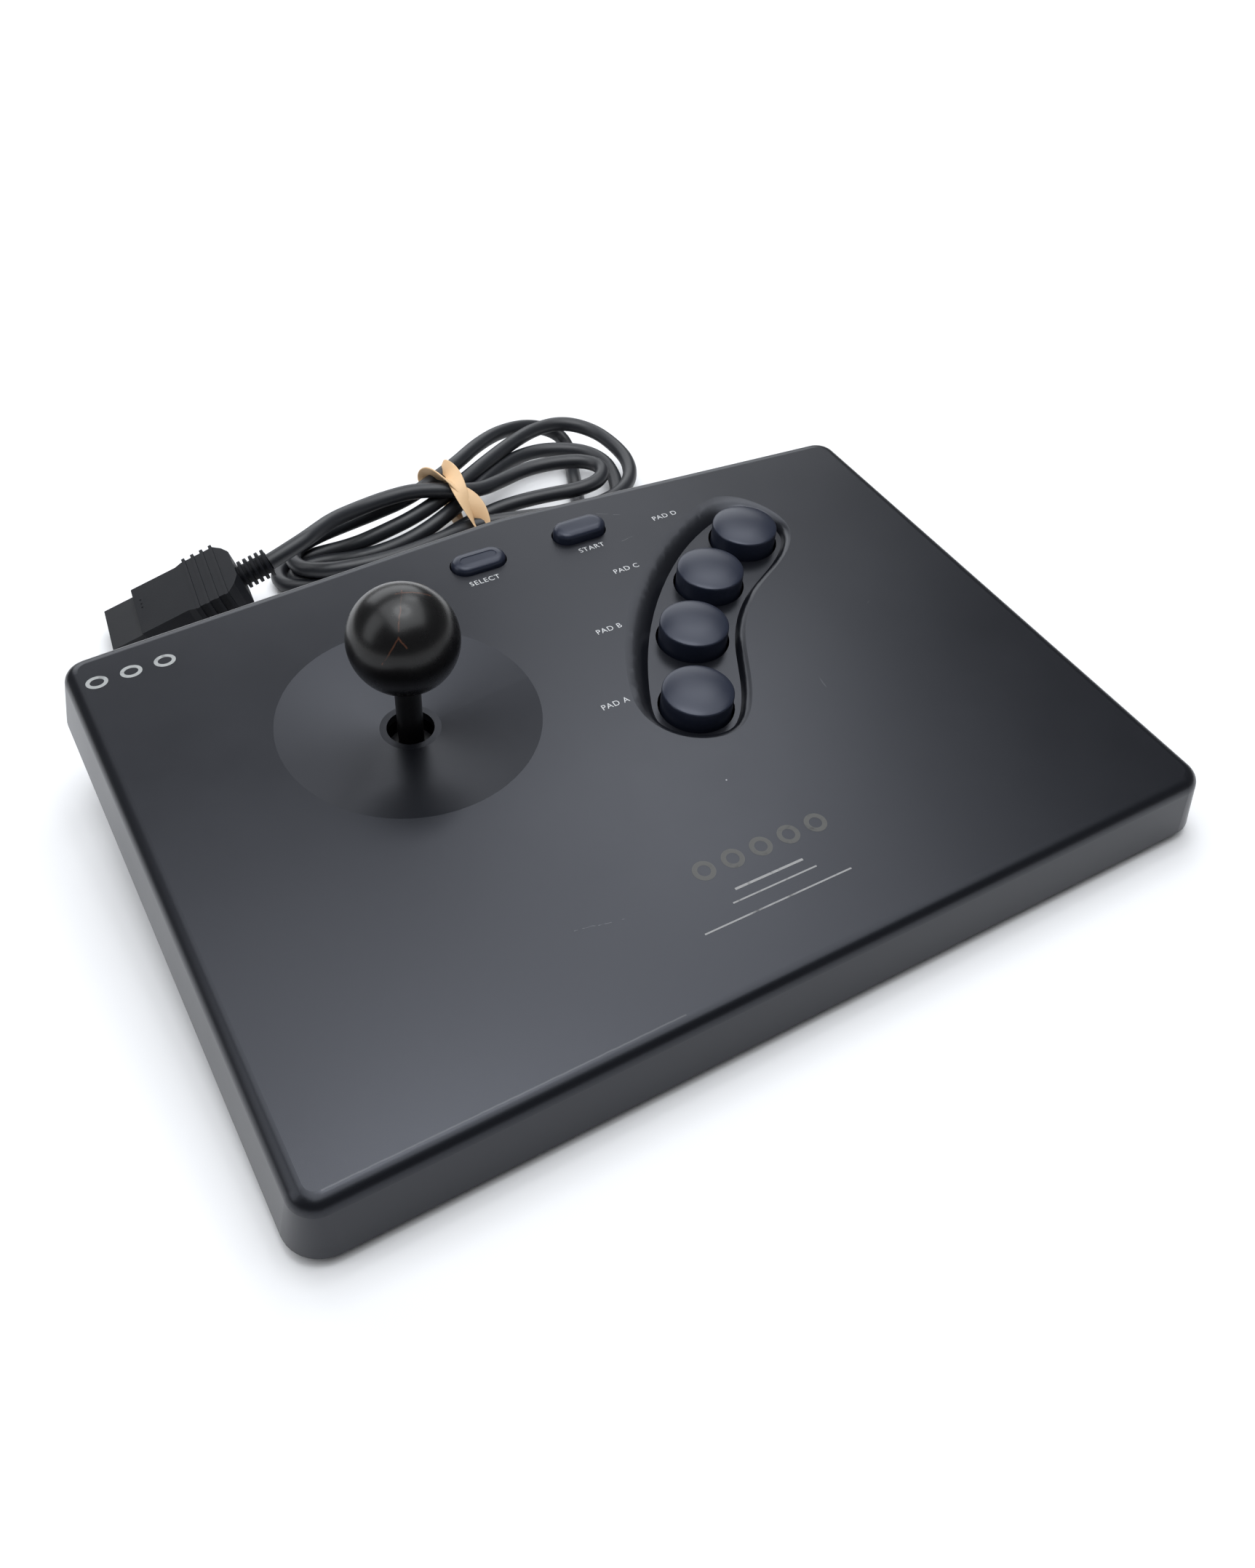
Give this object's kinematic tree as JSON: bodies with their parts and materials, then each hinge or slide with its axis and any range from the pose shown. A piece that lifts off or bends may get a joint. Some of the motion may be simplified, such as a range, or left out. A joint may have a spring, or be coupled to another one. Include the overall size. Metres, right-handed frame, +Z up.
{
  "type": "arcade joystick panel",
  "caption": "Sloped black home arcade controller with a ball-top stick in a round dish, round pads in a curved pocket, capsule buttons at the rear, and a banded cord with a moulded plug.",
  "frame": {"origin": "centre of the case's footprint on the surface it stands on, without the cord, hank and plug", "axes": "+X to the player's right along the case's long side, +Y to the rear where the cord leaves, +Z up"},
  "size_m": [0.2874, 0.3272, 0.085],
  "materials": {
    "case_plastic": "satin, finely grained black",
    "stick_plastic": "black",
    "ball_plastic": "worn satin black",
    "pad_plastic": "blue-grey satin",
    "steel": "bright",
    "foot_rubber": "matt",
    "inner_plastic": "matt",
    "switch_plastic": "matt",
    "board": "matt phenolic",
    "cord_jacket": "satin",
    "band_rubber": "matt tan",
    "plug_plastic": "matt"
  },
  "bodies": {
    "case": {"top_shell": "case_plastic", "base_pan": "case_plastic", "base_screws": "steel", "rubber_feet": "foot_rubber", "stick_housing": "inner_plastic", "stick_mount_screws": "steel", "restrictor_gate": "inner_plastic", "centring_spring": "steel", "direction_switch_right": "switch_plastic", "direction_switch_left": "switch_plastic", "direction_switch_rear": "switch_plastic", "direction_switch_front": "switch_plastic", "switch_levers": "steel", "pad_frame": "inner_plastic", "pad_board": "board", "pad_switches": "switch_plastic", "pad_screws": "steel", "pad_spring_a": "steel", "pad_spring_b": "steel", "pad_spring_c": "steel", "pad_spring_d": "steel", "capsule_board": "board", "capsule_screws": "steel", "select_dome": "foot_rubber", "start_dome": "foot_rubber", "cable_gland": "cord_jacket", "cord_lead": "cord_jacket", "cord_hank": "cord_jacket", "hank_band": "band_rubber", "cord_tail": "cord_jacket", "plug_body": "plug_plastic", "plug_shroud": "plug_plastic", "plug_insert": "plug_plastic", "plug_relief": "cord_jacket"},
    "gimbal": {"gimbal_ring": "inner_plastic"},
    "stick": {"stick_hub": "inner_plastic", "stick_shaft": "steel", "shaft_sleeve": "stick_plastic", "ball_top": "ball_plastic", "actuator": "inner_plastic", "retaining_clip": "steel"},
    "pad_a_cap": {"pad_a": "pad_plastic"},
    "pad_b_cap": {"pad_b": "pad_plastic"},
    "pad_c_cap": {"pad_c": "pad_plastic"},
    "pad_d_cap": {"pad_d": "pad_plastic"},
    "select_cap": {"select_button": "pad_plastic"},
    "start_cap": {"start_button": "pad_plastic"}
  },
  "joints": [
    {"name": "stick_front_rear", "type": "hinge", "parent": "case", "child": "gimbal", "pos_m": [-0.0579, 0.02451, 0.02504], "axis": [1, 0, 0], "range_deg": [-10, 10], "stiffness_Nm_per_rad": 0.6, "deforming": ["centring_spring"]},
    {"name": "stick_left_right", "type": "hinge", "parent": "gimbal", "child": "stick", "pos_m": [-0.0579, 0.02451, 0.02504], "axis": [0, 0.9903, 0.1392], "range_deg": [-10, 10], "stiffness_Nm_per_rad": 0.6, "deforming": ["centring_spring"]},
    {"name": "pad_a_press", "type": "slide", "parent": "case", "child": "pad_a_cap", "axis": [0, 0.1392, -0.9903], "range_m": [0, 0.003], "stiffness_N_per_m": 300, "springref_m": -0.003, "deforming": ["pad_spring_a"]},
    {"name": "pad_b_press", "type": "slide", "parent": "case", "child": "pad_b_cap", "axis": [0, 0.1392, -0.9903], "range_m": [0, 0.003], "stiffness_N_per_m": 300, "springref_m": -0.003, "deforming": ["pad_spring_b"]},
    {"name": "pad_c_press", "type": "slide", "parent": "case", "child": "pad_c_cap", "axis": [0, 0.1392, -0.9903], "range_m": [0, 0.003], "stiffness_N_per_m": 300, "springref_m": -0.003, "deforming": ["pad_spring_c"]},
    {"name": "pad_d_press", "type": "slide", "parent": "case", "child": "pad_d_cap", "axis": [0, 0.1392, -0.9903], "range_m": [0, 0.003], "stiffness_N_per_m": 300, "springref_m": -0.003, "deforming": ["pad_spring_d"]},
    {"name": "select_press", "type": "slide", "parent": "case", "child": "select_cap", "axis": [0, 0.1392, -0.9903], "range_m": [0, 0.0015], "stiffness_N_per_m": 500, "springref_m": -0.002, "deforming": ["select_dome"]},
    {"name": "start_press", "type": "slide", "parent": "case", "child": "start_cap", "axis": [0, 0.1392, -0.9903], "range_m": [0, 0.0015], "stiffness_N_per_m": 500, "springref_m": -0.002, "deforming": ["start_dome"]}
  ]
}
